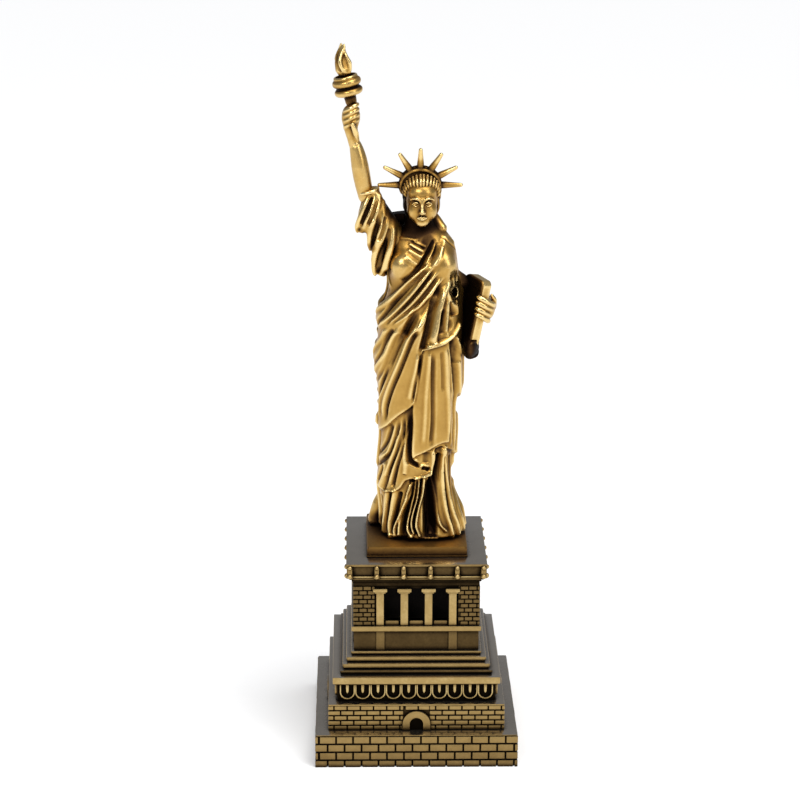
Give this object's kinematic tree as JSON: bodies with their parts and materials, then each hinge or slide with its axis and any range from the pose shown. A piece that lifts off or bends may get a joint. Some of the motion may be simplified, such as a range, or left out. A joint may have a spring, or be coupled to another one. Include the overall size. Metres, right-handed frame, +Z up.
{
  "type": "souvenir statue on pedestal",
  "caption": "Antique-brass desk statue: robed figure with raised torch, rayed crown and tablet, on a square tiered pedestal with brick courses, arcade frieze and colonnade.",
  "frame": {"origin": "centre of the square base where it rests on the table", "axes": "+Z up, the figure faces -Y, the raised torch is on the -X side"},
  "size_m": [0.07, 0.07, 0.2453],
  "materials": {
    "bright_brass": "antique, polished on the high spots",
    "aged_brass": "antique, dark in the recesses",
    "blackened_steel": "blackened",
    "zinc_plate": "plain zinc plate",
    "steel": "zinc plated",
    "felt": "black felt"
  },
  "bodies": {
    "root": {"felt_pad": "felt", "bottom_cover": "zinc_plate", "cover_screws": "steel", "tie_rod": "steel", "tie_washer": "steel", "tie_nut": "steel", "core_tube": "blackened_steel", "base_tier": "aged_brass", "second_tier": "aged_brass", "arcade_frieze": "aged_brass", "band_course": "aged_brass", "stepped_moulding": "aged_brass", "dado": "aged_brass", "sill_course": "aged_brass", "corner_piers": "aged_brass", "colonnade_front": "aged_brass", "colonnade_right": "aged_brass", "colonnade_back": "aged_brass", "colonnade_left": "aged_brass", "architrave": "aged_brass", "cornice": "aged_brass", "cap_slab": "aged_brass", "figure_plinth": "bright_brass", "plinth_pins": "steel", "robe": "bright_brass", "right_sleeve": "bright_brass", "forearm": "bright_brass", "torch_hand": "bright_brass", "torch": "bright_brass", "flame": "bright_brass", "head": "bright_brass", "neck_pin": "steel", "crown": "bright_brass", "left_arm": "bright_brass", "tablet": "bright_brass", "arm_pins": "steel"}
  },
  "joints": []
}
